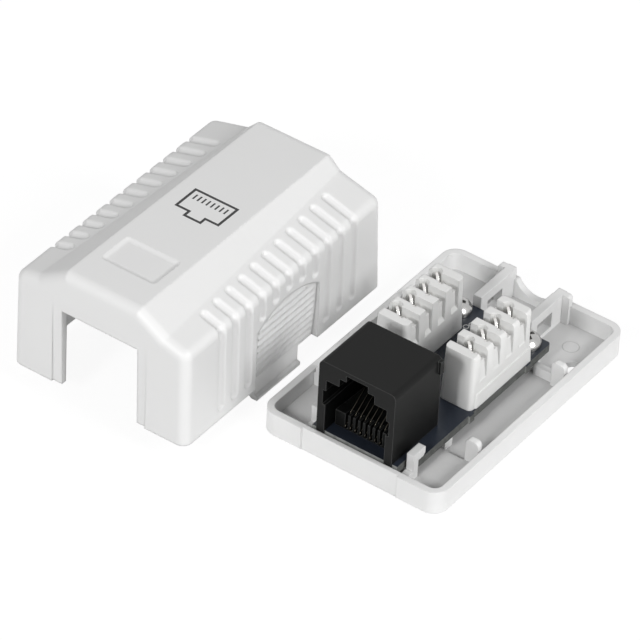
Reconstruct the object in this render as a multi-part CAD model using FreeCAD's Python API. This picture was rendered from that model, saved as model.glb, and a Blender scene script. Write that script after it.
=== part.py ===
import FreeCAD, Part
import math
import os

# One-port surface mount jack box, open: the tray with its board, and the cover beside it.
# Millimetres. X across the width, Y from the jack mouth (-Y) to the cable entry (+Y), Z up.
# The origin is the middle of the face of the tray that goes against the wall.

V = FreeCAD.Vector

# Case
case_width = 37.0
case_length = 57.0
corner_radius = 3.0
tray_height = 4.85
tray_wall = 1.3
tray_floor = 1.2
tray_foot_bevel = 0.25
mouth_recess_half = 9.9
mouth_recess_depth = 0.4

# Cable entry
entry_radius = 4.5
entry_height = 7.0
cheek_gap_half = 4.4
cheek_thickness = 1.7
cheek_front = 45.4
cheek_top = 7.2
cheek_window_front = 2.1
cheek_window_length = 4.5
cheek_window_low = 2.0
cheek_window_top = 5.2
ear_width = 3.1
ear_set_back = 0.8
ear_depth = 1.2
ear_round = 0.5

# Tray fittings, places measured from the front of the tray
post_front = 13.8
post_rear = 39.7
post_width = 2.9
post_depth = 1.2
post_top = 6.35
post_round = 0.8
cross_rib_gap = 0.6
cross_rib_top = 3.2
cross_rib_thickness = 1.2
cross_rib_length = 3.8
front_step = 0.5
wall_hole_spacing = 30.0
wall_hole_back = 46.0
wall_hole_diameter = 3.5
rest_post_x = 9.0
rest_post_back = 15.2
rest_post_half = 1.1

# Board
board_half_width = 10.6
board_thickness = 1.6
board_underside = 3.6
board_front = 1.7
board_shoulder = 5.4
board_rear = 45.0
board_nose_half = 8.8
board_corner = 0.6
board_nib_reach = 0.35
board_nib_length = 1.4
board_nibs = (20.0, 37.0)

# Clips that hook over the front shoulders of the board
clip_width = 1.45
clip_stem = 1.45
clip_reach = 1.95
clip_head = 1.8
clip_free = 0.05
clip_web_drop = 1.6
clip_nose = 0.5

# Board screws
screw_x = 7.25
screw_back = 42.3
screw_head_radius = 2.5
screw_head_height = 1.8
screw_rim = 0.8
screw_crown_radius = 1.6
screw_shank_radius = 1.0
screw_length = 3.6
screw_free = 0.25
boss_radius = 2.6
cross_slot_width = 0.6
cross_slot_length = 2.7
cross_slot_depth = 1.0

# Jack
jack_width = 15.6
jack_front = 1.38
jack_depth = 13.5
jack_height = 15.0
jack_edge_round = 1.0
jack_back_wall = 1.5
jack_lug_reach = 0.5
jack_lug_width = 1.0
jack_lug_height = 2.7
jack_foot_drop = 1.3
port_free = 0.3
# Half widths of the port, with the height above the board where each begins
port_steps = ((0.0, 6.2), (5.8, 6.8), (8.9, 6.2), (11.2, 3.6), (12.9, 2.2))
port_top = 14.2

# Contacts of the jack
contact_count = 8
contact_pitch = 1.016
wire_size = 0.4
wire_bend = 0.75
wire_bend_steps = 4
wire_run_height = 1.25
wire_front = 4.7
wire_pin_back = 12.2
wire_row_step = 1.27
wire_tip_back = 11.2
wire_tip_height = 7.2
pin_drop = 1.0
pin_free = 0.15
carrier_front = 4.2
carrier_half = 5.9
carrier_height = 2.9
carrier_slot = 0.58

# Punch-down blocks, offsets across them count outwards from the middle of the block
block_x = 7.15
block_front = 21.0
block_height = 11.3
block_width = 7.0
block_lean = 0.3
block_slots = 4
block_pitch = 3.92
block_wall = 1.65
block_corner = 0.9
block_crest_round = 0.6
block_ledge = 0.35
block_ledge_top = 3.0
inlet_depth = 0.8
inner_groove_depth = 1.05
inner_groove_drop = 4.9
inner_groove_ramp = 0.8
well_depth = 5.6
well_inner = -1.1
well_radius = 1.6
outlet_width = 1.36
outlet_depth = 2.1
outer_groove_depth = 0.3
outer_groove_drop = 5.3
tine_x = 0.3
tine_thickness = 0.5
tine_length = 4.1
tine_top_drop = 0.6
tine_gap = 0.35
tine_gap_depth = 4.0
tine_lead = 0.7
tine_free = 0.05
tine_foot_width = 0.8

# Cover, heights above its own lower edge
cover_wall = 1.5
cover_height = 24.4
flank_draft = 0.3
rear_draft = 1.3
shoulder_drop = 4.8
shoulder_slope = 0.286
edge_round = 1.9
fold_front = 13.6
fold_rear = 9.8
crown_front = 7.8
crown_rear = 7.5
mouth_half = 8.0
mouth_height = 16.2
mouth_frame_top = 18.0
label_width = 11.5
label_length = 7.7
label_back = 11.15
label_depth = 0.35
label_corner = 0.8

# Grooves of the flanks
groove_count = 11
groove_pitch = 3.78
groove_offset = 0.5
groove_width = 2.1
groove_depth = 0.6
groove_flats = 5
groove_bends = 2
groove_run_out = 50.0
groove_low = 2.9
groove_high_front = 14.5
groove_high_rear = 12.1
panel_groove_gap = 0.9

# Thumb panels and latch tongues of the cover
panel_offset = 0.5
panel_half = 8.9
panel_apex = 14.8
panel_spring = 12.0
panel_depth_top = 0.6
panel_depth_low = 1.35
panel_rib_count = 9
panel_rib_pitch = 1.45
panel_rib_first = 1.3
panel_rib_width = 0.75
panel_rib_height = 0.35
panel_rib_margin = 0.8
tongue_offset = -0.65
tongue_half = 6.15
tongue_drop = 4.2
tongue_thickness = 1.4
barb_reach = 0.65
barb_height = 1.1
latch_free = 0.35
latch_free_top = 0.15
ear_free = 0.2

# Where the cover lies beside the tray
cover_aside_x = -40.85
cover_aside_y = -16.0

# Derived sizes
half_width = case_width / 2
half_length = case_length / 2
board_top = board_underside + board_thickness
inner_half = half_width - tray_wall
tongue_outer = half_width - panel_depth_low
tongue_inner = tongue_outer - tongue_thickness
jack_top = board_top + jack_height
block_top = board_top + block_height
block_length = block_slots * block_pitch + block_wall + 2 * block_lean
slot_width = block_pitch - block_wall
entry_rise = entry_height - tray_height
shoulder_height = cover_height - shoulder_drop
groove_radius = (groove_width ** 2 / 4 + groove_depth ** 2) / groove_depth / 2
groove_lift = groove_radius - groove_depth


def back(distance):
    return distance - half_length


def box(x0, x1, y0, y1, z0, z1):
    return Part.makeBox(x1 - x0, y1 - y0, z1 - z0, V(x0, y0, z0))


def upright_edges(shape):
    return [e for e in shape.Edges if runs_along(e, V(0, 0, 1))]


def runs_along(edge, direction):
    ends = [v.Point for v in edge.Vertexes]
    if len(ends) < 2:
        return False
    step = ends[1] - ends[0]
    return step.Length > 1e-6 and step.cross(direction).Length < 1e-6 * step.Length


def level_edges(shape, height):
    return [e for e in shape.Edges if all(abs(v.Point.z - height) < 1e-5 for v in e.Vertexes)]


def rounded_block(half_x, y0, y1, z0, z1, radius):
    block = box(-half_x, half_x, y0, y1, z0, z1)
    return block.makeFillet(radius, upright_edges(block))


def mirrored(shape):
    return shape.mirror(V(0, 0, 0), V(1, 0, 0))


def both_sides(shapes):
    return shapes + [mirrored(s) for s in shapes]


def profile(points):
    return Part.Face(Part.makePolygon([V(*p) for p in points + points[:1]]))


def save(shape, name):
    shape.removeSplitter().exportStep("parts/" + name + ".step")


# Tray, with everything moulded on its floor

def side_post(y0):
    y1 = y0 + post_depth
    tab_end = half_width - cover_wall - latch_free_top
    tab = box(inner_half - post_width, tab_end, y0, y1, tray_floor, post_top)
    corners = [e for e in level_edges(tab, post_top) if runs_along(e, V(0, 1, 0))]
    tab = tab.makeFillet(post_round, corners)
    root = box(inner_half - post_width / 2, inner_half, y0, y1, tray_floor, tray_height - post_round / 2)
    return tab.fuse(root)


def cross_rib():
    y0 = back(post_rear) + cross_rib_gap
    x0 = board_half_width - cross_rib_gap / 2
    return box(x0, x0 + cross_rib_length, y0, y0 + cross_rib_thickness, tray_floor, cross_rib_top)


def cable_cheek():
    x0 = cheek_gap_half
    x1 = x0 + cheek_thickness
    y0 = back(cheek_front)
    y1 = half_length - tray_wall / 2
    cheek = box(x0, x1, y0, y1, tray_floor, cheek_top)
    window_front = y0 + cheek_window_front
    window = box(x0 - 1, x1 + 1, window_front, window_front + cheek_window_length,
                 cheek_window_low, cheek_window_top)
    ear_back = half_length - ear_set_back
    ear = box(x0, x0 + ear_width, ear_back - ear_depth, ear_back, tray_floor, cheek_top)
    corners = [e for e in level_edges(ear, cheek_top)
               if runs_along(e, V(0, 1, 0)) and e.BoundBox.XMin > x0 + ear_width / 2]
    return cheek.cut(window).fuse(ear.makeFillet(ear_round, corners))


def board_clip():
    x0 = board_half_width - clip_width
    y1 = back(board_shoulder) - clip_free
    y0 = y1 - clip_stem
    under = board_top + clip_free
    top = under + clip_head
    tip = y1 + clip_reach
    side = profile([(x0, y0, tray_floor), (x0, y0, top), (x0, tip, top), (x0, tip, under + clip_nose),
                    (x0, tip - clip_nose, under), (x0, y1, under), (x0, y1, tray_floor)])
    hook = side.extrude(V(clip_width, 0, 0))
    web_front = -half_length + tray_wall / 2
    web = box(x0, x0 + clip_width, web_front, y1, tray_floor, board_top - clip_web_drop)
    return hook.fuse(web)


def board_supports():
    boss = Part.makeCylinder(boss_radius, board_underside - tray_floor,
                             V(screw_x, back(screw_back), tray_floor))
    y = back(rest_post_back)
    post = box(rest_post_x - rest_post_half, rest_post_x + rest_post_half, y - rest_post_half, y + rest_post_half,
               tray_floor, board_underside)
    return [boss, post]


def latch_pocket():
    y0 = tongue_offset - tongue_half - latch_free
    y1 = tongue_offset + tongue_half + latch_free
    slot = box(tongue_inner - latch_free, inner_half, y0, y1, -1, tray_floor + 1)
    catch_top = tray_height - tongue_drop + barb_height + latch_free_top
    catch = box(inner_half - latch_free, tongue_outer + barb_reach + latch_free_top, y0, y1, -1, catch_top)
    return [slot, catch]


def tray_shell():
    outer = rounded_block(half_width, -half_length, half_length, 0, tray_height, corner_radius)
    outer = outer.makeChamfer(tray_foot_bevel, level_edges(outer, 0))
    hollow = rounded_block(inner_half, -half_length + tray_wall, half_length - tray_wall,
                           tray_floor, tray_height + 1, corner_radius - tray_wall)
    step_block = box(-inner_half, inner_half, -half_length, back(post_front),
                     tray_floor / 2, tray_floor + front_step)
    shell = outer.cut(hollow).fuse(step_block.common(outer))
    recess = box(-mouth_recess_half, mouth_recess_half, -half_length - 1,
                 -half_length + mouth_recess_depth, -1, tray_height + 1)
    return shell.cut(recess)


def make_tray():
    fittings = [side_post(back(post_front)), side_post(back(post_rear)), cross_rib(), cable_cheek(),
                board_clip()] + board_supports()
    tray = tray_shell().fuse(both_sides(fittings))
    pilot = Part.makeCylinder(screw_shank_radius, board_underside,
                              V(screw_x, back(screw_back), tray_floor / 2))
    wall_hole = Part.makeCylinder(wall_hole_diameter / 2, tray_floor + 2,
                                  V(wall_hole_spacing / 2, back(wall_hole_back), -1))
    entry = Part.makeCylinder(entry_radius, 3 * tray_wall, V(0, half_length - 2 * tray_wall, entry_height),
                              V(0, 1, 0))
    return tray.cut(both_sides([pilot, wall_hole] + latch_pocket()) + [entry])


# Board and the two screws that hold it

def wire_x(i):
    return (i - (contact_count - 1) / 2) * contact_pitch


def wire_pin_y(i):
    return back(wire_pin_back) - (i % 2) * wire_row_step


def slot_y(k):
    return back(block_front) + block_lean + block_wall + slot_width / 2 + k * block_pitch


def pin_hole(x, y, half):
    return box(x - half, x + half, y - half, y + half, board_underside - 1, board_top + 1)


def make_board():
    z0 = board_underside
    body = rounded_block(board_half_width, back(board_shoulder), back(board_rear), z0, board_top,
                         board_corner)
    nose = box(-board_nose_half, board_nose_half, back(board_front), back(board_shoulder) + 1, z0, board_top)
    nibs = []
    for distance in board_nibs:
        x0 = board_half_width - board_nib_reach
        y0 = back(distance)
        nibs.append(box(x0, x0 + 2 * board_nib_reach, y0, y0 + board_nib_length, z0, board_top))
    board = body.fuse([nose] + both_sides(nibs))
    holes = []
    for side in (-1, 1):
        holes.append(Part.makeCylinder(screw_shank_radius + screw_free, board_thickness + 2,
                                       V(side * screw_x, back(screw_back), z0 - 1)))
        for k in range(block_slots):
            holes.append(pin_hole(side * (block_x + tine_x), slot_y(k), tine_foot_width / 2 + pin_free))
    for i in range(contact_count):
        holes.append(pin_hole(wire_x(i), wire_pin_y(i), wire_size / 2 + pin_free))
    return board.cut(holes)


def make_board_screw(side):
    top = board_top + screw_head_height
    low = board_top - screw_length
    outline = [(0, 0, low), (screw_shank_radius, 0, low), (screw_shank_radius, 0, board_top),
               (screw_head_radius, 0, board_top), (screw_head_radius, 0, board_top + screw_rim),
               (screw_crown_radius, 0, top), (0, 0, top)]
    screw = profile(outline).revolve(V(0, 0, 0), V(0, 0, 1), 360)
    a = cross_slot_length / 2
    b = cross_slot_width / 2
    slot_low = top - cross_slot_depth
    screw = screw.cut([box(-a, a, -b, b, slot_low, top + 1), box(-b, b, -a, a, slot_low, top + 1)])
    screw.translate(V(side * screw_x, back(screw_back), 0))
    return screw


# Jack: housing, contact carrier and eight spring wires

def port_shape():
    right = []
    heights = [s[0] for s in port_steps[1:]] + [port_top]
    for (low, half), high in zip(port_steps, heights):
        right.append((half, board_top + low))
        right.append((half, board_top + high))
    right[0] = (right[0][0], board_top - 1)
    outline = right + [(-x, z) for x, z in reversed(right)]
    y0 = back(jack_front) - 1
    face = profile([(x, y0, z) for x, z in outline])
    return face.extrude(V(0, jack_depth - jack_back_wall + 1, 0))


def make_jack_housing():
    half = jack_width / 2
    y0 = back(jack_front)
    y1 = y0 + jack_depth
    body = box(-half, half, y0, y1, board_top, jack_top)
    edges = [e for e in level_edges(body, jack_top) if runs_along(e, V(0, 1, 0))]
    body = body.makeFillet(jack_edge_round, edges)
    lug_top = jack_top - jack_edge_round / 2
    lug = box(half - 1, half + jack_lug_reach, y1 - jack_lug_width, y1, lug_top - jack_lug_height, lug_top)
    foot_inner = port_steps[0][1]
    foot = box(foot_inner, half, y0, back(board_front) - clip_free, board_top - jack_foot_drop, board_top + 1)
    return body.fuse([lug] + both_sides([foot])).cut(port_shape())


def make_jack_carrier():
    y0 = back(carrier_front)
    y1 = back(jack_front) + jack_depth - jack_back_wall - port_free
    carrier = box(-carrier_half, carrier_half, y0, y1, board_top, board_top + carrier_height)
    floor = board_top + wire_run_height - wire_size / 2
    cuts = []
    for i in range(contact_count):
        x0 = wire_x(i) - carrier_slot / 2
        cuts.append(box(x0, x0 + carrier_slot, y0 - 1, y1 + 1, floor, jack_top))
        half = wire_size / 2 + pin_free
        y = wire_pin_y(i)
        cuts.append(box(wire_x(i) - half, wire_x(i) + half, y - half, y + half, board_top - 1, floor + 1))
    return carrier.cut(cuts)


def wire_path(i):
    z = board_top + wire_run_height
    pin_y = wire_pin_y(i)
    centre_y = back(wire_front) + wire_bend
    tip = (back(wire_tip_back), board_top + wire_tip_height)
    dy = tip[0] - centre_y
    dz = tip[1] - (z + wire_bend)
    reach = math.hypot(dy, dz)
    slope = math.atan2(dz, dy) + math.asin(wire_bend / reach)
    points = [(pin_y, board_underside - pin_drop), (pin_y, z)]
    start = -math.pi / 2
    end = -math.pi * 1.5 + slope
    for k in range(wire_bend_steps + 1):
        a = start + (end - start) * k / wire_bend_steps
        points.append((centre_y + wire_bend * math.cos(a), z + wire_bend + wire_bend * math.sin(a)))
    return points + [tip]


def ribbon(points, thickness):
    left = []
    right = []
    for k, (y, z) in enumerate(points):
        before = points[max(k - 1, 0)]
        after = points[min(k + 1, len(points) - 1)]
        d1 = unit(before, (y, z)) if k > 0 else unit((y, z), after)
        d2 = unit((y, z), after) if k < len(points) - 1 else d1
        n = (-(d1[1] + d2[1]), d1[0] + d2[0])
        grow = thickness / (1 + d1[0] * d2[0] + d1[1] * d2[1]) / 2
        left.append((y + n[0] * grow, z + n[1] * grow))
        right.append((y - n[0] * grow, z - n[1] * grow))
    return left + right[::-1]


def unit(a, b):
    length = math.hypot(b[0] - a[0], b[1] - a[1])
    return ((b[0] - a[0]) / length, (b[1] - a[1]) / length)


def make_contact_wire(i):
    x0 = wire_x(i) - wire_size / 2
    outline = ribbon(wire_path(i), wire_size)
    return profile([(x0, y, z) for y, z in outline]).extrude(V(wire_size, 0, 0))


# Punch-down blocks and their contacts, built for the right-hand block with its middle at x = 0

def block_body():
    y0 = back(block_front)
    y1 = y0 + block_length
    inner = block_width / 2
    outer = inner - block_ledge
    body = Part.makeWedge(-inner, board_top, -y1, block_lean - y1, block_lean - inner,
                          outer, block_top, -y0, -y0 - block_lean, outer)
    body.rotate(V(0, 0, 0), V(1, 0, 0), 90)
    slanted = [e for e in body.Edges if e.BoundBox.ZLength > block_height - 1e-3]
    body = body.makeFillet(block_corner, slanted)
    ledge = box(0, inner, y0, y1 + block_ledge, board_top, board_top + block_ledge_top)
    ledge = ledge.makeFillet(block_corner, [e for e in upright_edges(ledge) if e.BoundBox.XMin > 0])
    return body.fuse(ledge).cut(crest_tool(outer, y0, y1))


def crest_tool(outer, y0, y1):
    x = outer - block_crest_round
    z = block_top - block_crest_round
    corner = box(x, outer + 1, y0 - 1, y1 + 1, z, block_top + 1)
    return corner.cut(Part.makeCylinder(block_crest_round, y1 - y0 + 2, V(x, y0 - 1, z), V(0, 1, 0)))


def wire_slot(k):
    y = slot_y(k)
    wide = slot_width / 2
    narrow = outlet_width / 2
    half = block_width / 2
    inner_floor = inner_groove_depth - half + block_lean
    well_low = block_top - well_depth
    inlet = box(-half, tine_x, y - wide, y + wide, block_top - inlet_depth, block_top + 1)
    well = box(well_inner, tine_x + well_radius, y - wide, y + wide, well_low, block_top + 1)
    scoop = Part.makeCylinder(well_radius, well_depth + 1, V(tine_x, y, well_low))
    scoop = scoop.common(box(-half, half, y, y + block_pitch, well_low, block_top + 1))
    outlet = box(0, half, y - narrow, y + narrow, block_top - outlet_depth, block_top + 1)
    low = block_top - inner_groove_drop
    ramp = profile([(-half, y - wide, low - inner_groove_ramp), (inner_floor, y - wide, low),
                    (inner_floor, y - wide, block_top + 1), (-half, y - wide, block_top + 1)])
    face = half - block_ledge - outer_groove_depth
    outer_groove = box(face, half, y - narrow, y + narrow, block_top - outer_groove_drop, block_top)
    return [inlet, well, scoop, outlet, ramp.extrude(V(0, slot_width, 0)), outer_groove]


def plate(x, y, length, thickness, low, high):
    blank = Part.makeBox(length, thickness, high - low, V(-length / 2, -thickness / 2, low))
    blank.rotate(V(0, 0, 0), V(0, 0, 1), -45)
    blank.translate(V(x, y, 0))
    return blank


def make_block(side):
    cuts = []
    for k in range(block_slots):
        cuts += wire_slot(k)
    block = block_body().cut(cuts)
    if side < 0:
        block = mirrored(block)
    slits = []
    for k in range(block_slots):
        slits.append(plate(side * tine_x, slot_y(k), tine_length + 2 * tine_free,
                           tine_thickness + 2 * tine_free, board_top - 1, block_top + 1))
    block = block.cut(slits)
    block.translate(V(side * block_x, 0, 0))
    return block


def make_block_contact(side, k):
    top = block_top - tine_top_drop
    a = tine_length / 2
    g = tine_gap / 2
    foot = tine_foot_width / 2
    low = board_top
    tail = board_underside - pin_drop
    right = [(g, top - tine_gap_depth), (g, top - tine_lead), (g + tine_lead, top), (a, top), (a, low),
             (foot, low), (foot, tail)]
    outline = right + [(-x, z) for x, z in reversed(right)]
    contact = profile([(x, -tine_thickness / 2, z) for x, z in outline]).extrude(V(0, tine_thickness, 0))
    contact.rotate(V(0, 0, 0), V(0, 0, 1), -45)
    contact.translate(V(side * (block_x + tine_x), slot_y(k), 0))
    return contact


# Cover: lofted shell, flank grooves, thumb panels with latch tongues, mouth and label recess

def flank_at(height):
    return half_width - flank_draft * height / shoulder_height


def shoulder_line(u):
    return shoulder_height + (flank_at(shoulder_height) - u) * shoulder_slope


def half_section(fold, crown, inset):
    lines = [((half_width, 0.0), (flank_at(shoulder_height), shoulder_height)),
             ((flank_at(shoulder_height), shoulder_height), (fold, shoulder_line(fold))),
             ((fold, shoulder_line(fold)), (crown, cover_height)),
             ((crown, cover_height), (0.0, cover_height))]
    moved = []
    for a, b in lines:
        d = unit(a, b)
        moved.append(((a[0] - d[1] * inset, a[1] + d[0] * inset), d))
    corners = [meet(m, n) for m, n in zip(moved, moved[1:])]
    foot_height = -1.0 if inset else 0.0
    start, d = moved[0]
    foot = (start[0] + d[0] * (foot_height - start[1]) / d[1], foot_height)
    return [foot] + corners


def meet(first, second):
    (p, d), (q, e) = first, second
    cross = d[0] * e[1] - d[1] * e[0]
    t = ((q[0] - p[0]) * e[1] - (q[1] - p[1]) * e[0]) / cross
    return (p[0] + d[0] * t, p[1] + d[1] * t)


def section_points(fold, crown, inset, y, lean):
    right = half_section(fold, crown, inset)
    outline = right + [(-u, h) for u, h in reversed(right)]
    return [V(u, y - lean * h / cover_height, h) for u, h in outline]


def facet(a, b, c, d):
    flat = abs((b - a).cross(d - a).dot(c - a)) < 1e-6
    if flat:
        return Part.Face(Part.makePolygon([a, b, c, d, a]))
    return Part.makeRuledSurface(Part.makeLine(a, d), Part.makeLine(b, c))


def cover_solid(inset):
    front = section_points(fold_front, crown_front, inset, inset - half_length, 0.0)
    rear = section_points(fold_rear, crown_rear, inset, half_length - inset, rear_draft)
    faces = [Part.Face(Part.makePolygon(front + front[:1])), Part.Face(Part.makePolygon(rear + rear[:1]))]
    for k in range(len(front)):
        n = (k + 1) % len(front)
        faces.append(facet(front[k], front[n], rear[n], rear[k]))
    shell = Part.makeShell(faces)
    shell.sewShape()
    solid = Part.makeSolid(shell)
    return solid if solid.Volume > 0 else solid.reversed()


def shoulder_edges(shape):
    found = []
    for e in shape.Edges:
        box_of = e.BoundBox
        level = abs(box_of.ZMax - shoulder_height) < 1e-3 and abs(box_of.ZMin - shoulder_height) < 1e-3
        if level and box_of.YLength > half_length:
            found.append(e)
    return found


def cover_outer():
    body = cover_solid(0)
    ends = end_edges(body, 0, -half_length) + end_edges(body, rear_draft, half_length)
    return body.makeFillet(edge_round, shoulder_edges(body) + ends)


def end_edges(shape, lean, y):
    found = []
    for e in shape.Edges:
        points = [v.Point for v in e.Vertexes]
        on_end = all(abs(q.y - y + lean * q.z / cover_height) < 1e-4 for q in points)
        if on_end and max(q.z for q in points) > 1e-6:
            found.append(e)
    return found


def groove_tool(k):
    y = groove_offset + (k - (groove_count - 1) / 2) * groove_pitch
    high = groove_high_front + (groove_high_rear - groove_high_front) * k / (groove_count - 1)
    low = groove_low
    if abs(y - panel_offset) < panel_half - groove_width / 4:
        rise = (panel_apex - panel_spring) * (1 - ((y - panel_offset) / panel_half) ** 2)
        low = panel_spring + rise + panel_groove_gap + groove_radius
    corner = (flank_at(shoulder_height), shoulder_height)
    d1 = unit((half_width, 0.0), corner)
    d2 = unit(corner, (high, shoulder_line(high)))
    angle1 = math.atan2(d1[1], d1[0])
    turn = math.atan2(d2[1], d2[0]) - angle1
    run = edge_round * math.tan(turn / 2)
    start = outward((corner[0] - d1[0] * run, corner[1] - d1[1] * run), d1, 0)
    centre = outward(start, d1, -edge_round)
    reach = (edge_round + groove_lift) / math.cos(turn / groove_bends / 2)
    points = [outward((flank_at(low), low), d1, groove_lift)]
    for step in range(groove_bends):
        a = angle1 - math.pi / 2 + turn * (step + 0.5) / groove_bends
        points.append((centre[0] + reach * math.cos(a), centre[1] + reach * math.sin(a)))
    points.append(outward((high, shoulder_line(high)), d2, groove_lift))
    first = run_out(points[0], d1, -1)
    last = run_out(points[-1], d2, 1)
    path = Part.makePolygon([V(p[0], y, p[1]) for p in [first] + points + [last]])
    section = groove_section(first, unit(first, points[0]), y)
    return path.makePipeShell([section], True, True, 1)


def groove_section(point, direction, y):
    half = math.asin(groove_width / 2 / groove_radius)
    corners = [(-groove_width / 2, groove_radius), (groove_width / 2, groove_radius)]
    for k in range(groove_flats + 1):
        a = half - 2 * half * k / groove_flats
        corners.append((groove_radius * math.sin(a), -groove_radius * math.cos(a)))
    placed = []
    for across, out in corners + corners[:1]:
        x, z = outward(point, direction, out)
        placed.append(V(x, y + across, z))
    return Part.makePolygon(placed)


def run_out(point, direction, sense):
    slope = math.radians(groove_run_out)
    along = sense * math.cos(slope) * 2 * groove_radius
    out = math.sin(slope) * 2 * groove_radius
    return (point[0] + direction[0] * along + direction[1] * out,
            point[1] + direction[1] * along - direction[0] * out)


def outward(point, direction, distance):
    return (point[0] + direction[1] * distance, point[1] - direction[0] * distance)


def arch_prism(x0, x1, shrink, low):
    y0 = panel_offset - panel_half + shrink
    y1 = panel_offset + panel_half - shrink
    spring = panel_spring - shrink
    apex = panel_apex - shrink
    arc = Part.Arc(V(x0, y1, spring), V(x0, panel_offset, apex), V(x0, y0, spring)).toShape()
    points = [V(x0, y0, spring), V(x0, y0, low), V(x0, y1, low), V(x0, y1, spring)]
    edges = [Part.makeLine(a, b) for a, b in zip(points, points[1:])] + [arc]
    return Part.Face(Part.Wire(edges)).extrude(V(x1 - x0, 0, 0))


def panel_floor_at(height):
    t = max(0.0, 1 - height / panel_apex)
    return flank_at(height) - panel_depth_top - (panel_depth_low - panel_depth_top) * t * t


def panel_tool():
    outer = half_width + 1
    y0 = panel_offset - panel_half - 1
    bottom = V(panel_floor_at(0), y0, 0)
    mid = V(panel_floor_at(panel_apex / 2), y0, panel_apex / 2)
    top = V(panel_floor_at(panel_apex), y0, panel_apex)
    floor = Part.Arc(bottom, mid, top).toShape()
    points = [top, V(top.x, y0, panel_apex + 1), V(outer, y0, panel_apex + 1), V(outer, y0, -1),
              V(bottom.x, y0, -1), bottom]
    edges = [floor] + [Part.makeLine(a, b) for a, b in zip(points, points[1:])]
    wall = Part.Face(Part.Wire(edges)).extrude(V(0, 2 * panel_half + 2, 0))
    return wall.common(arch_prism(tongue_inner, outer, 0, -1))


def panel_ribs():
    ribs = []
    for k in range(panel_rib_count):
        z = panel_rib_first + k * panel_rib_pitch
        y0 = panel_offset - panel_half
        x = panel_floor_at(z)
        a = panel_rib_width / 2
        b = a - panel_rib_height / 2
        rib = profile([(x - panel_rib_height, y0, z - a), (x, y0, z - a), (x + panel_rib_height, y0, z - b),
                       (x + panel_rib_height, y0, z + b), (x, y0, z + a), (x - panel_rib_height, y0, z + a)])
        ribs.append(rib.extrude(V(0, 2 * panel_half, 0)))
    field = arch_prism(tongue_inner, half_width, panel_rib_margin, 0)
    return [rib.common(field) for rib in ribs]


def panel_backing():
    y0 = panel_offset - panel_half - cover_wall
    y1 = panel_offset + panel_half + cover_wall
    return box(tongue_inner, half_width - cover_wall / 2, y0, y1, 0, panel_apex)


def latch_tongue():
    y0 = tongue_offset - tongue_half
    tip = tongue_outer + barb_reach
    lead = barb_reach / 3
    outline = [(tongue_inner, y0, 1), (tongue_inner, y0, barb_height / 2 - tongue_drop),
               (tongue_inner + tongue_thickness / 2, y0, -tongue_drop), (tip - lead, y0, -tongue_drop),
               (tip, y0, lead - tongue_drop), (tip, y0, barb_height - lead - tongue_drop),
               (tongue_outer, y0, barb_height - tongue_drop), (tongue_outer, y0, 1)]
    return profile(outline).extrude(V(0, 2 * tongue_half, 0))


def mouth_cuts():
    front = -half_length
    mouth = box(-mouth_half, mouth_half, front - 1, front + 2 * cover_wall, -1, mouth_height)
    frame = profile([(-mouth_recess_half, front - 1, -1), (-mouth_recess_half, front + mouth_recess_depth, 0),
                     (-mouth_recess_half, front, mouth_frame_top), (-mouth_recess_half, front - 1, mouth_frame_top)])
    return [mouth, frame.extrude(V(2 * mouth_recess_half, 0, 0))]


def entry_cuts():
    hole = Part.makeCylinder(entry_radius, 3 * cover_wall + rear_draft,
                             V(0, half_length - 2 * cover_wall - rear_draft, entry_rise), V(0, 1, 0))
    reach = cheek_gap_half + ear_width + ear_free
    ear_back = half_length - ear_set_back + ear_free / 2
    room = box(-reach, reach, half_length - cover_wall - 1, ear_back, -1, cheek_top - tray_height + ear_free)
    return [hole, room]


def label_recess():
    y = back(label_back)
    z = cover_height - label_depth
    recess = box(-label_width / 2, label_width / 2, y - label_length / 2, y + label_length / 2, z, z + 2)
    return recess.makeFillet(label_corner, upright_edges(recess))


def make_cover():
    cover = cover_outer().cut(cover_solid(cover_wall))
    cover = cover.fuse(both_sides([panel_backing(), latch_tongue()]))
    tools = [panel_tool()]
    for k in range(groove_count):
        tools.append(groove_tool(k))
    cover = cover.cut(both_sides(tools))
    cover = cover.fuse(both_sides(panel_ribs()))
    cover = cover.cut(mouth_cuts() + entry_cuts() + [label_recess()])
    cover.translate(V(cover_aside_x, cover_aside_y, tongue_drop))
    return cover


def build_all():
    os.makedirs("parts", exist_ok=True)
    save(make_tray(), "base_tray")
    save(make_board(), "circuit_board")
    save(make_jack_housing(), "jack_housing")
    save(make_jack_carrier(), "jack_contact_carrier")
    for i in range(contact_count):
        save(make_contact_wire(i), "contact_wire_%d" % (i + 1))
    for side, word in ((-1, "left"), (1, "right")):
        save(make_block(side), "idc_block_" + word)
        save(make_board_screw(side), "board_screw_" + word)
        for k in range(block_slots):
            save(make_block_contact(side, k), "idc_contact_%s_%d" % (word, k + 1))
    save(make_cover(), "cover")


if __name__ == "__main__":
    build_all()
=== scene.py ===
import math

import bpy
import bmesh
from mathutils import Matrix, Vector


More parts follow.
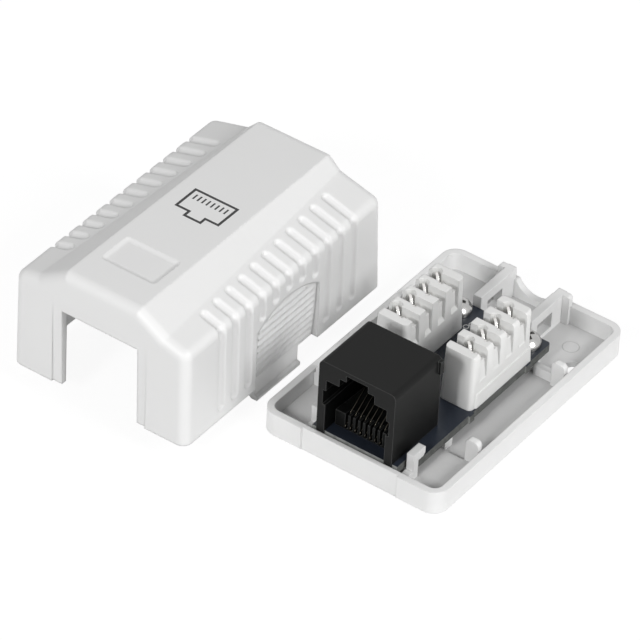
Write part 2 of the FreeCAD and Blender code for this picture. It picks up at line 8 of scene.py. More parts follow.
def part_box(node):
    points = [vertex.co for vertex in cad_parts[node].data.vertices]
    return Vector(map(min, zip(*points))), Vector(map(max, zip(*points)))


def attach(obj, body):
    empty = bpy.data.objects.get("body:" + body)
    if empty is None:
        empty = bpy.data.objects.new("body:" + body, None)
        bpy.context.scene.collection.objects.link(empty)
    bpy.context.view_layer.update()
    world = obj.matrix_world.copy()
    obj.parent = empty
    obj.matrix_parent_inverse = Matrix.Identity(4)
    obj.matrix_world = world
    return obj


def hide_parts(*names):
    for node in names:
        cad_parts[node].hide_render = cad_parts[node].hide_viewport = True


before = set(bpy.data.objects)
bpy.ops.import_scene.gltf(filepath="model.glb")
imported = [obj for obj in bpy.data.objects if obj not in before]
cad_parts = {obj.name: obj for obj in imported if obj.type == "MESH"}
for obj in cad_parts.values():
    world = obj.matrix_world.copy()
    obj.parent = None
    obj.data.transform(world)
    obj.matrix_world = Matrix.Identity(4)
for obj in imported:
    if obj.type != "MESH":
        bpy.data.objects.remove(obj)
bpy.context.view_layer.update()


# Tray: white box plastic, injection moulded in one piece with its posts, clips and cheeks, and
# finished with a fine satin grain. The pins that push it out of the mould leave rings on its floor.

MM = 0.001
WHITE = (0.80, 0.80, 0.797)
TRAY_FLOOR = 1.2
PIN_PLACES = ((11.4, -18.8), (11.4, 22.0), (-11.4, -18.8))
PIN_RADIUS = 1.4
PIN_RING_WIDTH = 0.15
PIN_RING_HEIGHT = 0.025
PIN_RING_BEVEL = 0.015
PIN_RING_SUNK = 0.05


def new_material(name):
    mat = bpy.data.materials.new(name)
    mat.use_nodes = True
    tree = mat.node_tree
    tree.nodes.clear()
    out = tree.nodes.new("ShaderNodeOutputMaterial")
    shader = tree.nodes.new("ShaderNodeBsdfPrincipled")
    tree.links.new(shader.outputs["BSDF"], out.inputs["Surface"])
    return mat, tree, shader


def node(tree, kind, inputs=None, **attributes):
    """A new node; each of its inputs is given a plain value or another node's socket."""
    made = tree.nodes.new(kind)
    for key, value in attributes.items():
        setattr(made, key, value)
    for key, given in (inputs or {}).items():
        if isinstance(given, bpy.types.NodeSocket):
            tree.links.new(given, made.inputs[key])
        else:
            made.inputs[key].default_value = given
    return made


def maths(tree, operation, first, second=0.0, clamp=False):
    made = node(tree, "ShaderNodeMath", {0: first, 1: second}, operation=operation, use_clamp=clamp)
    return made.outputs[0]


def mapped(tree, value, start=0.0, end=1.0, low=0.0, high=1.0):
    """The value, taken from the range start to end over to the range low to high."""
    made = node(tree, "ShaderNodeMapRange",
                {"Value": value, "From Min": start, "From Max": end, "To Min": low, "To Max": high})
    return made.outputs[0]


def blended(tree, share, first, second):
    """The first colour where the share is 0, and the second where it is 1."""
    made = node(tree, "ShaderNodeMix", {"Factor": share, "A": first, "B": second}, data_type="RGBA")
    return made.outputs["Result"]


def scaled(tree, color, amount):
    made = node(tree, "ShaderNodeVectorMath", {0: color, "Scale": amount}, operation="SCALE")
    return made.outputs["Vector"]


def cloud(tree, scale, detail):
    """Noise that is fixed to the piece."""
    place = node(tree, "ShaderNodeTexCoord").outputs["Object"]
    made = node(tree, "ShaderNodeTexNoise", {"Vector": place, "Scale": scale, "Detail": detail})
    return made.outputs["Fac"]


def facing(tree):
    """The X, Y and Z of the direction in which a face looks."""
    normal = node(tree, "ShaderNodeNewGeometry").outputs["True Normal"]
    return node(tree, "ShaderNodeSeparateXYZ", {"Vector": normal}).outputs


def new_group(name, inputs, outputs):
    group = bpy.data.node_groups.new(name, "ShaderNodeTree")
    for label, kind, value in inputs:
        socket = group.interface.new_socket(label, in_out="INPUT", socket_type=kind)
        if value is not None:
            socket.default_value = value
    for label, kind in outputs:
        group.interface.new_socket(label, in_out="OUTPUT", socket_type=kind)
    return group, group.nodes.new("NodeGroupInput").outputs, group.nodes.new("NodeGroupOutput").inputs


def use_group(tree, group, inputs):
    return node(tree, "ShaderNodeGroup", inputs, node_tree=group)


def make_grain_group():
    """Fine moulded grain: a normal, a roughness that varies, and a mask of the edges."""
    bump_height = 0.00002
    group, given, result = new_group(
        "moulded_grain",
        [("Scale", "NodeSocketFloat", 2600.0), ("Depth", "NodeSocketFloat", 0.03),
         ("Roughness", "NodeSocketFloat", 0.3), ("Spread", "NodeSocketFloat", 0.06),
         ("Edge", "NodeSocketFloat", 0.00015)],
        [("Normal", "NodeSocketVector"), ("Roughness", "NodeSocketFloat"),
         ("Edges", "NodeSocketFloat")])
    rounded = node(group, "ShaderNodeBevel", {"Radius": given["Edge"]}, samples=8).outputs["Normal"]
    bump = node(group, "ShaderNodeBump",
                {"Distance": bump_height, "Height": cloud(group, given["Scale"], 3.0),
                 "Strength": given["Depth"], "Normal": rounded})
    wave = maths(group, "SUBTRACT", cloud(group, 60.0, 2.0), 0.5)
    wave = maths(group, "MULTIPLY", wave, given["Spread"])
    flat = node(group, "ShaderNodeNewGeometry").outputs["Normal"]
    same = node(group, "ShaderNodeVectorMath", {0: rounded, 1: flat}, operation="DOT_PRODUCT")
    group.links.new(bump.outputs["Normal"], result["Normal"])
    group.links.new(maths(group, "ADD", wave, given["Roughness"]), result["Roughness"])
    group.links.new(maths(group, "SUBTRACT", 1.0, same.outputs["Value"], clamp=True), result["Edges"])
    return group


def make_depth_group():
    """Painted shade: darkens what lies deep between other pieces and faces up, such as the floor of a
    tray.
    """
    group, given, result = new_group(
        "depth_shade",
        [("Color", "NodeSocketColor", None), ("Reach", "NodeSocketFloat", 0.0075),
         ("Dark", "NodeSocketFloat", 0.35)],
        [("Color", "NodeSocketColor")])
    seen = node(group, "ShaderNodeAmbientOcclusion", {"Distance": given["Reach"]}, samples=12)
    covered = maths(group, "SUBTRACT", 1.0, seen.outputs["AO"])
    upward = mapped(group, facing(group)["Z"], start=0.6, end=0.95)
    amount = maths(group, "MULTIPLY", maths(group, "MULTIPLY", covered, upward), given["Dark"])
    left = maths(group, "SUBTRACT", 1.0, amount, clamp=True)
    group.links.new(scaled(group, given["Color"], left), result["Color"])
    return group


GRAIN = make_grain_group()
DEPTH = make_depth_group()


def plastic(name, color, roughness, grain=0.03, scale=2600.0, edge=0.00015, mottle=0.01,
            specular=0.5, depth=0.0, edge_highlight=None, printed=None, crisp=None):
    """Moulded plastic. Printed puts ink on a colour, crisp masks where edges stay sharp, and an edge
    colour is a painted highlight along the rounded edges.
    """
    mat, tree, shader = new_material(name)
    made = use_group(tree, GRAIN, {"Scale": scale, "Depth": grain, "Roughness": roughness,
                                   "Spread": 0.06, "Edge": edge})
    tint = mapped(tree, cloud(tree, 90.0, 3.0), low=1.0 - mottle, high=1.0 + mottle)
    tone = scaled(tree, color, tint)
    # Painted shade on faces that look up into a hollow.
    if depth:
        tone = use_group(tree, DEPTH, {"Color": tone, "Dark": depth}).outputs["Color"]
    # Painted highlight: the rounded edges are blended towards a lighter edge colour.
    if edge_highlight:
        highlight_share = mapped(tree, made.outputs["Edges"], start=0.02, end=0.2)
        tone = blended(tree, highlight_share, tone, edge_highlight)
    if printed:
        tone = printed(tree, tone)
    if crisp:
        radius = mapped(tree, crisp(tree), low=edge, high=edge / 10)
        tree.links.new(radius, made.inputs["Edge"])
    tree.links.new(tone, shader.inputs["Base Color"])
    tree.links.new(made.outputs["Normal"], shader.inputs["Normal"])
    tree.links.new(made.outputs["Roughness"], shader.inputs["Roughness"])
    shader.inputs["IOR"].default_value = 1.5
    shader.inputs["Specular IOR Level"].default_value = specular
    return mat


def dress(obj, mat):
    obj.data.materials.clear()
    obj.data.materials.append(mat)


def solid(name, corners, faces):
    """A closed mesh from corner points in millimetres, with its faces turned outwards."""
    shape = bmesh.new()
    made = [shape.verts.new([c * MM for c in corner]) for corner in corners]
    for face in faces:
        shape.faces.new([made[i] for i in face])
    bmesh.ops.recalc_face_normals(shape, faces=shape.faces)
    mesh = bpy.data.meshes.new(name)
    shape.to_mesh(mesh)
    shape.free()
    obj = bpy.data.objects.new(name, mesh)
    bpy.context.collection.objects.link(obj)
    return obj


def turned(name, outline, x, y, sides):
    """A solid turned round an upright line; the outline is (radius, height), a closed ring or
    pole to pole."""
    corners = []
    faces = []
    rings = []
    for radius, z in outline:
        count = sides if radius else 1
        rings.append([len(corners) + i for i in range(count)])
        for i in range(count):
            a = 2 * math.pi * i / sides
            corners.append((x + radius * math.cos(a), y + radius * math.sin(a), z))
    pairs = list(zip(rings, rings[1:]))
    if outline[0][0]:
        pairs.append((rings[-1], rings[0]))
    for low, high in pairs:
        for i in range(sides):
            j = (i + 1) % sides
            around = [low[i % len(low)], low[j % len(low)], high[j % len(high)], high[i % len(high)]]
            faces.append([a for n, a in enumerate(around) if a not in around[:n]])
    return solid(name, corners, faces)


def soften(obj, angle):
    """Smooth shading, with the edges that turn by more than the angle left sharp."""
    for face in obj.data.polygons:
        face.use_smooth = True
    obj.data.set_sharp_from_angle(angle=math.radians(angle))


# The tray floor gets painted shade under and between the other pieces.
TRAY_WHITE = plastic("tray_white", WHITE, 0.32, grain=0.02, edge=0.0003, depth=0.5)
dress(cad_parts["base_tray"], TRAY_WHITE)
for i, (x, y) in enumerate(PIN_PLACES):
    low = TRAY_FLOOR - PIN_RING_SUNK
    high = TRAY_FLOOR + PIN_RING_HEIGHT
    outer = PIN_RADIUS + PIN_RING_WIDTH
    outline = [(PIN_RADIUS, low), (outer, low), (outer, high - PIN_RING_BEVEL),
               ((PIN_RADIUS + outer) / 2, high), (PIN_RADIUS, high - PIN_RING_BEVEL)]
    mark = turned("ejector_ring_%d" % (i + 1), outline, x, y, 36)
    soften(mark, 35)
    dress(mark, TRAY_WHITE)
    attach(mark, "root")


# Cover: the same white plastic, one hollow moulding with grooves over both flanks and, on its flat
# top, a shallow recess for a label. A plain socket sign is pad-printed behind the recess in black.

cover_low, cover_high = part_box("cover")
COVER_X = (cover_low[0] + cover_high[0]) / 2
SIGN_Y = cover_low[1] + 0.0292
SIGN_BLACK = (0.014, 0.014, 0.014, 1)
SIGN_PIN_PITCH = 0.94
SIGN_PIN_HALF = 0.17
SIGN_PIN_FOOT = 0.7
SIGN_PIN_TOP = 2.15
LABEL_Y = cover_low[1] + 0.01115
LABEL_WIDTH = 11.5
LABEL_LENGTH = 7.7
LABEL_CORNER = 0.8
LABEL_MARGIN = 1.05
LABEL_OVERLAP = 0.01
# The slope of the recess's walls, as (distance in from the rim, depth under the flat top).
LABEL_SLOPE = ((0.0, 0.01), (0.2, 0.07), (0.45, 0.22), (0.75, 0.33), (1.0, 0.352), (1.0, 0.4),
               (0.0, 0.4))


def make_panel_group():
    """A mask that is 1 inside a rectangle seen from above, by its middle and half sizes in metres."""
    group, given, result = new_group(
        "panel_mask",
        [("X", "NodeSocketFloat", 0.0), ("Y", "NodeSocketFloat", 0.0),
         ("Half Width", "NodeSocketFloat", 0.001), ("Half Length", "NodeSocketFloat", 0.001)],
        [("Mask", "NodeSocketFloat")])
    place = node(group, "ShaderNodeTexCoord").outputs["Object"]
    split = node(group, "ShaderNodeSeparateXYZ", {"Vector": place})
    inside = []
    for axis, half in (("X", "Half Width"), ("Y", "Half Length")):
        away = maths(group, "SUBTRACT", split.outputs[axis], given[axis])
        away = maths(group, "ABSOLUTE", away)
        inside.append(maths(group, "LESS_THAN", away, given[half]))
    group.links.new(maths(group, "MULTIPLY", *inside), result["Mask"])
    return group


PANEL = make_panel_group()


def panel_mask(tree, x, y, half_width, half_length):
    made = use_group(tree, PANEL, {"X": x, "Y": y, "Half Width": half_width,
                                   "Half Length": half_length})
    return made.outputs["Mask"]


def print_socket_sign(tree, tone):
    """Ink on what faces up: the outline of a socket with a notch for the latch, and eight pins."""
    half, top, foot = 4.7, 3.4, -2.6
    notch, notch_foot = 1.95, -4.0
    line = 0.52
    bars = [(-half, half, top - line, top),
            (-half, -half + line, foot, top), (half - line, half, foot, top),
            (-half, -notch, foot, foot + line), (notch, half, foot, foot + line),
            (-notch, -notch + line, notch_foot, foot + line),
            (notch - line, notch, notch_foot, foot + line),
            (-notch, notch, notch_foot, notch_foot + line)]
    for i in range(8):
        middle = (i - 3.5) * SIGN_PIN_PITCH
        bars.append((middle - SIGN_PIN_HALF, middle + SIGN_PIN_HALF, SIGN_PIN_FOOT, SIGN_PIN_TOP))
    ink = None
    for x0, x1, y0, y1 in bars:
        bar = panel_mask(tree, COVER_X + (x0 + x1) / 2 * MM, SIGN_Y + (y0 + y1) / 2 * MM,
                         (x1 - x0) / 2 * MM, (y1 - y0) / 2 * MM)
        ink = bar if ink is None else maths(tree, "MAXIMUM", ink, bar)
    upward = maths(tree, "GREATER_THAN", facing(tree)["Z"], 0.95)
    return blended(tree, maths(tree, "MULTIPLY", ink, upward), tone, SIGN_BLACK)


def label_area(tree):
    return panel_mask(tree, COVER_X, LABEL_Y, (LABEL_WIDTH / 2 + LABEL_MARGIN) * MM,
                      (LABEL_LENGTH / 2 + LABEL_MARGIN) * MM)


def rounded_plan(x0, x1, y0, y1, radius, z):
    """The corners of a level rectangle whose own corners are rounded in five steps."""
    steps = 5
    corners = []
    for cx, cy, start in ((x1 - radius, y1 - radius, 0), (x0 + radius, y1 - radius, 90),
                          (x0 + radius, y0 + radius, 180), (x1 - radius, y0 + radius, 270)):
        for k in range(steps + 1):
            a = math.radians(start + 90 * k / steps)
            corners.append((cx + radius * math.cos(a), cy + radius * math.sin(a), z))
    return corners


def make_label_slope():
    """Eases the walls of the label recess: a sloped frame from its floor up to the flat top."""
    middle_x = COVER_X / MM
    middle_y = LABEL_Y / MM
    rings = []
    for inset, drop in LABEL_SLOPE:
        x = LABEL_WIDTH / 2 - inset + LABEL_OVERLAP
        y = LABEL_LENGTH / 2 - inset + LABEL_OVERLAP
        corner = max(LABEL_CORNER - inset / 2, 0.3)
        rings.append(rounded_plan(middle_x - x, middle_x + x, middle_y - y, middle_y + y, corner,
                                  cover_high[2] / MM - drop))
    count = len(rings[0])
    faces = []
    for k in range(len(rings)):
        after = (k + 1) % len(rings)
        for i in range(count):
            j = (i + 1) % count
            faces.append((k * count + i, k * count + j, after * count + j, after * count + i))
    slope = solid("label_slope", [corner for ring in rings for corner in ring], faces)
    soften(slope, 60)
    dress(slope, COVER_WHITE)
    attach(slope, "root")


COVER_WHITE = plastic("cover_white", WHITE, 0.44, grain=0.02, edge=0.0006,
                      printed=print_socket_sign, crisp=label_area)
dress(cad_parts["cover"], COVER_WHITE)
make_label_slope()


# Circuit board: glass-fibre laminate under dark blue solder mask. Its long edges are painted dark
# as painted shade and its ends pale as a painted highlight. Two rings are screen-printed between the
# blocks.

board_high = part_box("circuit_board")[1]
BOARD_TOP = board_high[2] / MM
END_EDGE_LIT_PAINT = ((0.10, 0.105, 0.10, 1), (0.42, 0.43, 0.415, 1))
SIDE_EDGE_SHADE_PAINT = ((0.035, 0.037, 0.035, 1), (0.17, 0.175, 0.168, 1))
SOLDER_MASK = ((0.0125, 0.0165, 0.025, 1), (0.020, 0.0255, 0.037, 1))
RING_PLACES = ((-3.35, 10.9), (-2.9, 12.0))
RING_INNER = 0.42
RING_OUTER = 0.56
INK_THICKNESS = 0.02


def board_material():
    mat, tree, shader = new_material("board_mask")
    look = facing(tree)
    level = maths(tree, "GREATER_THAN", maths(tree, "ABSOLUTE", look["Z"]), 0.5)
    # The grey laminate edges: painted shade on the long sides, a painted highlight on the ends.
    long_side = maths(tree, "GREATER_THAN", maths(tree, "ABSOLUTE", look["X"]), 0.7)
    weave = cloud(tree, 900.0, 4.0)
    edge = blended(tree, long_side, blended(tree, weave, *END_EDGE_LIT_PAINT),
                   blended(tree, weave, *SIDE_EDGE_SHADE_PAINT))
    color = blended(tree, level, edge, blended(tree, weave, *SOLDER_MASK))
    tree.links.new(color, shader.inputs["Base Color"])
    tree.links.new(mapped(tree, level, low=0.75, high=0.34), shader.inputs["Roughness"])
    shader.inputs["Specular IOR Level"].default_value = 0.35
    return mat


dress(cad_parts["circuit_board"], board_material())
INK = plastic("white_ink", (0.50, 0.50, 0.49), 0.6, grain=0.1, mottle=0.1, edge=0.00003)
for i, (x, y) in enumerate(RING_PLACES):
    low = BOARD_TOP - INK_THICKNESS
    high = BOARD_TOP + INK_THICKNESS
    outline = [(RING_INNER, low), (RING_OUTER, low), (RING_OUTER, high), (RING_INNER, high)]
    ring = turned("board_ring_%d" % (i + 1), outline, x, y, 28)
    dress(ring, INK)
    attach(ring, "root")


# Jack: black glass-filled housing with a comb behind its mouth. Eight round gold-flashed spring
# wires bend up out of the foot of the comb, lie in its slots and slope back over it.

BLACK_TONE = (0.0058, 0.0060, 0.0058)
# Its rounded edges get a lighter grey as a painted highlight.
BLACK = plastic("black_plastic", BLACK_TONE, 0.45, grain=0.06, scale=3200.0, edge=0.00025,
                specular=0.14, edge_highlight=(0.075, 0.077, 0.076, 1))
comb_low, comb_high = [[c / MM for c in corner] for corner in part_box("jack_contact_carrier")]
COMB_FRONT = comb_low[1]
COMB_REAR = comb_high[1]
COMB_FOOT = BOARD_TOP + 0.02
COMB_TOP = BOARD_TOP + 3.25
COMB_SLOT_HALF = 0.29
COMB_SLOT_DEPTH = 1.7
COMB_SLOT_FOOT = 0.3
WIRE_PITCH = 1.016
WIRE_RADIUS = 0.15
WIRE_FOOT = BOARD_TOP + 0.55
WIRE_HOOK = 0.3
WIRE_END = (-17.6, BOARD_TOP + 7.1)
# How far a cutting tool stands out of what it cuts.
CLEAR = 1.0


def loft(name, low, high):
    """A closed solid between two outlines that have the same number of corners."""
    count = len(low)
    faces = [tuple(range(count)), tuple(range(count, 2 * count))]
    for i in range(count):
        j = (i + 1) % count
        faces.append((i, j, count + j, count + i))
    return solid(name, list(low) + list(high), faces)


def bar(name, x0, x1, y0, y1, z0, z1):
    """A straight-sided tool for cutting slots."""
    low = [(x0, y0, z0), (x1, y0, z0), (x1, y1, z0), (x0, y1, z0)]
    return loft(name, low, [(x, y, z1) for x, y, _ in low])


def bake(obj):
    """Puts the modifiers into the mesh, welds it within 2 micrometres and turns faces outwards."""
    weld = 0.002 * MM
    graph = bpy.context.evaluated_depsgraph_get()
    mesh = bpy.data.meshes.new_from_object(obj.evaluated_get(graph))
    obj.modifiers.clear()
    shape = bmesh.new()
    shape.from_mesh(mesh)
    bmesh.ops.remove_doubles(shape, verts=shape.verts, dist=weld)
    bmesh.ops.dissolve_degenerate(shape, edges=shape.edges, dist=weld)
    bmesh.ops.triangulate(shape, faces=[f for f in shape.faces if len(f.verts) > 4])
    bmesh.ops.recalc_face_normals(shape, faces=shape.faces)
    shape.to_mesh(mesh)
    shape.free()
    obj.data = mesh


def carve(obj, cutters, joined=(), round_off=0.0, late=()):
    """Joins and cuts solids, rounds the edges by round_off millimetres, then makes late cuts."""
    def combine(tools, operation):
        for tool in tools:
            step = obj.modifiers.new(tool.name, "BOOLEAN")
            step.operation = operation
            step.solver = "EXACT"
            step.object = tool

    combine(joined, "UNION")
    combine(cutters, "DIFFERENCE")
    if round_off:
        step = obj.modifiers.new("round", "BEVEL")
        step.width = round_off * MM
        step.segments = 2
        step.limit_method = "ANGLE"
        step.angle_limit = math.radians(38)
        bake(obj)
    combine(late, "DIFFERENCE")
    bake(obj)
    for tool in list(joined) + list(cutters) + list(late):
        bpy.data.objects.remove(tool)


def stand_for(obj, name):
    """The piece rides with the rest, in place of the solid of that name, which is hidden."""
    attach(obj, "root")
    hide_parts(name)


def metal(name, color, roughness):
    mat, tree, shader = new_material(name)
    made = use_group(tree, GRAIN, {"Scale": 1800.0, "Depth": 0.04, "Roughness": roughness,
                                   "Spread": 0.08, "Edge": 0.00005})
    tint = mapped(tree, cloud(tree, 700.0, 3.0), low=0.88, high=1.05)
    tree.links.new(scaled(tree, color, tint), shader.inputs["Base Color"])
    tree.links.new(made.outputs["Normal"], shader.inputs["Normal"])
    tree.links.new(made.outputs["Roughness"], shader.inputs["Roughness"])
    shader.inputs["Metallic"].default_value = 1.0
    return mat


def wire_x(i):
    return (i - 3.5) * WIRE_PITCH


def make_comb():
    """The carrier: its top falls away to the rear, and eight slots open to the front."""
    side = comb_high[0]
    profile = [(COMB_FRONT, COMB_FOOT), (COMB_REAR, COMB_FOOT), (COMB_REAR, COMB_TOP - 0.6),
               (COMB_FRONT + 2.2, COMB_TOP - 0.2), (COMB_FRONT + 0.9, COMB_TOP),
               (COMB_FRONT, COMB_TOP)]
    comb = loft("jack_comb", [(-side, y, z) for y, z in profile], [(side, y, z) for y, z in profile])
    slots = []
    for i in range(8):
        x = wire_x(i)
        slots.append(bar("slot_%d" % i, x - COMB_SLOT_HALF, x + COMB_SLOT_HALF,
                         COMB_FRONT - CLEAR, COMB_FRONT + COMB_SLOT_DEPTH,
                         BOARD_TOP + COMB_SLOT_FOOT, COMB_TOP + CLEAR))
    carve(comb, slots)
    dress(comb, BLACK)
    stand_for(comb, "jack_contact_carrier")


def wire_middle():
    """The bent line of a wire, as (y, z): out at the foot, a small hook, up the slot and back."""
    path = [(COMB_FRONT + 1.6, WIRE_FOOT), (COMB_FRONT + 0.1, WIRE_FOOT)]
    for k in range(7):
        a = math.radians(-90 - 30 * k)
        path.append((COMB_FRONT - 0.05 + WIRE_HOOK * math.cos(a),
                     WIRE_FOOT + WIRE_HOOK + WIRE_HOOK * math.sin(a)))
    path += [(COMB_FRONT + 0.7, WIRE_FOOT + 0.95), (COMB_FRONT + 0.85, COMB_TOP - 0.9),
             (COMB_FRONT + 1.0, COMB_TOP - 0.4), (COMB_FRONT + 1.35, COMB_TOP)]
    return path + [WIRE_END]


def tube(name, x, path, radius):
    """A round wire along a path of (y, z) points."""
    sides = 10
    across = Vector((1, 0, 0))
    corners = []
    for k, (y, z) in enumerate(path):
        before = path[max(k - 1, 0)]
        after = path[min(k + 1, len(path) - 1)]
        along = Vector((0, after[0] - before[0], after[1] - before[1])).normalized()
        up = along.cross(across)
        for i in range(sides):
            a = 2 * math.pi * i / sides
            point = Vector((x, y, z)) + radius * (math.cos(a) * across + math.sin(a) * up)
            corners.append(tuple(point))
    faces = [tuple(range(sides)), tuple(range(len(corners) - sides, len(corners)))]
    for k in range(len(path) - 1):
        for i in range(sides):
            j = (i + 1) % sides
            faces.append((k * sides + i, k * sides + j, (k + 1) * sides + j, (k + 1) * sides + i))
    return solid(name, corners, faces)


dress(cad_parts["jack_housing"], BLACK)
make_comb()
# Painted shade: the gold is painted nearly black, for the dark inside of the jack.
GOLD_IN_PAINTED_SHADE = metal("gold_painted_dark", (0.04, 0.036, 0.029), 0.27)
for i in range(8):
    wire = tube("spring_wire_%d" % (i + 1), wire_x(i), wire_middle(), WIRE_RADIUS)
    soften(wire, 50)
    dress(wire, GOLD_IN_PAINTED_SHADE)
    stand_for(wire, "contact_wire_%d" % (i + 1))


# Punch-down blocks: white polycarbonate, four slots across each, moulded in one piece with a ledge
# outside. The slots open into grooves down both faces. Bright tinned fork contacts stand in them.

BLOCK_WHITE = plastic("block_white", (0.80, 0.80, 0.79), 0.36, grain=0.02, edge=0.00025)
TIN = metal("tin_plate", (0.80, 0.79, 0.77), 0.2)
block_low, block_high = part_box("idc_block_right")
BLOCK_TOP = block_high[2] / MM
BLOCK_START = block_low[1] / MM
BLOCK_X = 7.15
BLOCK_CORNER = 0.9
BLOCK_EDGE = 0.16
LEDGE_HEIGHT = 3.0
LEDGE_CORNER = 0.5
SLOT_PITCH = 3.92
SLOT_WIDTH = 2.1
CREST = SLOT_PITCH - SLOT_WIDTH
LEAN = 0.3
BLOCK_LENGTH = 4 * SLOT_PITCH + CREST + 2 * LEAN
CONTACT_X = BLOCK_X + 0.3
CONTACT_ANGLE = -45
WELL_RADIUS = 0.95
WELL_DEPTH = 3.5
WELL_AWAY = 1.15
WELL_BITE = 0.05
SLIT_REACH = 2.1
SLIT_HALF = 0.3
SLIT_DEPTH = 9
# What is cut from end to end off the outer top edge, and across at each slot: x outwards from the
# middle of the block, z from its top.
BROW = ((2.55, 0.5), (3.6, 0.5), (3.6, -0.75), (3.12, -0.7), (2.98, -0.32), (2.7, -0.08))
SLOT = ((-4, 1), (-4, -6.1), (-3.4, -6.1), (-2.75, -5.5), (-2.6, -2.3), (2.5, -2.3), (2.95, -5.9),
        (3.3, -6.3), (4, -6.3), (4, 1))


def placed(corners, side):
    """Corners drawn round the middle of the right-hand block, or mirrored for the left one."""
    return [(BLOCK_X * side + x * side, y, z) for x, y, z in corners]


def cross_cut(name, profile, y0, y1, side):
    return loft(name, placed([(x, y0, BLOCK_TOP + z) for x, z in profile], side),
                placed([(x, y1, BLOCK_TOP + z) for x, z in profile], side))


def make_block(side, word):
    """A body that leans in all round and its ledge, cut by the brow, slots, wells and slits."""
    y0 = BLOCK_START
    y1 = y0 + BLOCK_LENGTH
    low = rounded_plan(-3.5, 3.15, y0, y1, BLOCK_CORNER, BOARD_TOP)
    high = rounded_plan(-3.2, 3.1, y0 + LEAN, y1 - LEAN, BLOCK_CORNER, BLOCK_TOP)
    body = loft("punch_block_" + word, placed(low, side), placed(high, side))
    ledge_low = rounded_plan(0, 3.42, y0 + 1.1, y1, LEDGE_CORNER, BOARD_TOP)
    ledge_high = rounded_plan(0, 3.32, y0 + 1.25, y1 - 0.1, LEDGE_CORNER, BOARD_TOP + LEDGE_HEIGHT)
    ledge = loft("ledge", placed(ledge_low, side), placed(ledge_high, side))
    cutters = [cross_cut("brow", BROW, y0 - CLEAR, y1 + CLEAR, side)]
    slits = []
    for k in range(4):
        x = side * CONTACT_X
        y = BLOCK_START + LEAN + CREST + SLOT_WIDTH / 2 + k * SLOT_PITCH
        near = y - SLOT_WIDTH / 2
        far = y + SLOT_WIDTH / 2
        cutters.append(cross_cut("slot_%d" % k, SLOT, near, far, side))
        well = [(0, BLOCK_TOP - WELL_DEPTH), (WELL_RADIUS, BLOCK_TOP - WELL_DEPTH),
                (WELL_RADIUS, BLOCK_TOP + CLEAR), (0, BLOCK_TOP + CLEAR)]
        cutters.append(turned("well_%d" % k, well, x - WELL_AWAY, far + WELL_BITE, 24))
        slit = bar("slit_%d" % k, -SLIT_REACH, SLIT_REACH, -SLIT_HALF, SLIT_HALF,
                   BLOCK_TOP - SLIT_DEPTH, BLOCK_TOP + CLEAR)
        slit.data.transform(Matrix.Translation((x * MM, y * MM, 0))
                            @ Matrix.Rotation(math.radians(CONTACT_ANGLE), 4, "Z"))
        slits.append(slit)
    carve(body, cutters, joined=[ledge], round_off=BLOCK_EDGE, late=slits)
    soften(body, 32)
    dress(body, BLOCK_WHITE)
    stand_for(body, "idc_block_" + word)


for side, word in ((-1, "left"), (1, "right")):
    make_block(side, word)
    for k in range(4):
        dress(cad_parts["idc_contact_%s_%d" % (word, k + 1)], TIN)


# Board screws: steel pan heads with a cross recess, turned on a lathe and nickel-plated. They are
# driven down through the rear corners of the board into the tray's bosses.

NICKEL = metal("nickel_plate", (0.47, 0.467, 0.46), 0.2)
SHANK_RADIUS = 1.0
SHANK_TIP = 0.3
# The head from its rim to its pole, as (radius, height above the board).
SCREW_HEAD = ((2.62, 0), (2.7, 0.08), (2.7, 0.5), (2.63, 0.74), (2.5, 0.95), (2.25, 1.3), (1.85, 1.65),
              (1.35, 1.92), (0.75, 2.08), (0, 2.13))
# The foot and the mouth of the cross recess: reach, half width, height above the board.
CROSS_RECESS = ((0.5, 0.18, 0.6), (1.7, 0.42, 2.25))


def make_screw(word, turn):
    """A turned screw in the place of the solid, with its cross recess at the given angle."""
    low, high = [[c / MM for c in corner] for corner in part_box("board_screw_" + word)]
    x = (low[0] + high[0]) / 2
    y = (low[1] + high[1]) / 2
    outline = [(0, low[2]), (SHANK_RADIUS - 0.2, low[2]), (SHANK_RADIUS, low[2] + SHANK_TIP),
               (SHANK_RADIUS, BOARD_TOP)] + [(r, BOARD_TOP + z) for r, z in SCREW_HEAD]
    screw = turned("pan_screw_" + word, outline, x, y, 48)
    arms = []
    for quarter in (0, 90):
        a = math.radians(turn + quarter)
        ends = []
        for reach, half, z in CROSS_RECESS:
            ends.append([(x + u * math.cos(a) - v * math.sin(a), y + u * math.sin(a) + v * math.cos(a),
                          BOARD_TOP + z)
                         for u, v in ((-reach, -half), (reach, -half), (reach, half), (-reach, half))])
        arms.append(loft("arm_%d" % quarter, *ends))
    carve(screw, arms)
    soften(screw, 28)
    dress(screw, NICKEL)
    stand_for(screw, "board_screw_" + word)


make_screw("left", 25)
make_screw("right", 60)


# Stage: a pale floor and a weak world that the camera sees as white, with soft boxes in front and to
# the right. The camera looks down over the near corner through a long lens.

OBJECT_MIDDLE = (-0.01, -0.01, 0.01)
FLOOR_HALF = 1500
FLOOR_LEVEL = -0.1


def white_to_camera(tree, shading, out, glow_kind, share, strength):
    """Mixes plain white in for the camera, reflections and glass; all else gets the shading."""
    ray = node(tree, "ShaderNodeLightPath").outputs
    seen = maths(tree, "MAXIMUM", ray["Is Camera Ray"], ray["Is Glossy Ray"])
    seen = maths(tree, "MAXIMUM", seen, ray["Is Transmission Ray"])
    glow = node(tree, glow_kind, {"Color": (1, 1, 1, 1), "Strength": strength})
    mix = node(tree, "ShaderNodeMixShader",
               {0: maths(tree, "MULTIPLY", seen, share), 1: shading, 2: glow.outputs[0]})
    tree.links.new(mix.outputs[0], out.inputs["Surface"])


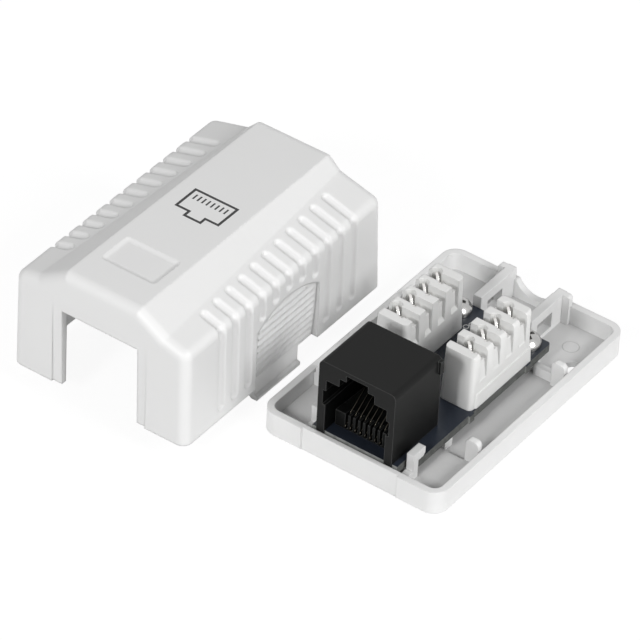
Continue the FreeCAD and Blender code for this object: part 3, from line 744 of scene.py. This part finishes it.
def make_floor():
    floor = solid("floor", [(x * FLOOR_HALF, y * FLOOR_HALF, FLOOR_LEVEL)
                            for x, y in ((-1, -1), (1, -1), (1, 1), (-1, 1))], [(0, 1, 2, 3)])
    mat, tree, shader = new_material("floor")
    tone = mapped(tree, cloud(tree, 3.0, 2.0), low=0.80, high=0.82)
    tree.links.new(tone, shader.inputs["Base Color"])
    shader.inputs["Roughness"].default_value = 0.7
    white_to_camera(tree, shader.outputs["BSDF"], tree.nodes["Material Output"],
                    "ShaderNodeEmission", 0.85, 1.08)
    dress(floor, mat)


def make_world():
    world = bpy.data.worlds.new("studio")
    bpy.context.scene.world = world
    world.use_nodes = True
    tree = world.node_tree
    tree.nodes.clear()
    out = node(tree, "ShaderNodeOutputWorld")
    back = node(tree, "ShaderNodeBackground", {"Color": (1, 1, 1, 1), "Strength": 0.27})
    white_to_camera(tree, back.outputs[0], out, "ShaderNodeBackground", 1.0, 1.0)


def soft_box(name, place, size, power):
    data = bpy.data.lights.new(name, "AREA")
    data.shape = "RECTANGLE"
    data.size = size
    data.size_y = size
    data.energy = power
    light = bpy.data.objects.new(name, data)
    bpy.context.collection.objects.link(light)
    light.location = place
    toward = Vector(OBJECT_MIDDLE) - Vector(place)
    light.rotation_euler = toward.to_track_quat("-Z", "Y").to_euler()
    light.visible_camera = False


def make_camera():
    data = bpy.data.cameras.new("camera")
    data.sensor_width = 36.0
    data.lens = 302.367
    data.clip_start = 0.05
    data.clip_end = 5.0
    camera = bpy.data.objects.new("camera", data)
    bpy.context.collection.objects.link(camera)
    right = Vector((0.80816613, 0.5874163, 0.04253936))
    down = Vector((0.39960659, -0.4938507, -0.77228625))
    ahead = Vector((-0.43264544, 0.6411346, -0.63384884))
    turn = Matrix((right, -down, -ahead)).transposed().to_4x4()
    camera.matrix_world = Matrix.Translation((0.37769653, -0.59895140, 0.59383095)) @ turn
    bpy.context.scene.camera = camera


make_floor()
make_world()
soft_box("front", (0.0, -0.82, 0.57), 0.18, 4.3)
soft_box("right", (0.80, 0.0, 0.60), 0.4, 5.7)
make_camera()
bpy.context.scene.view_settings.view_transform = "Standard"
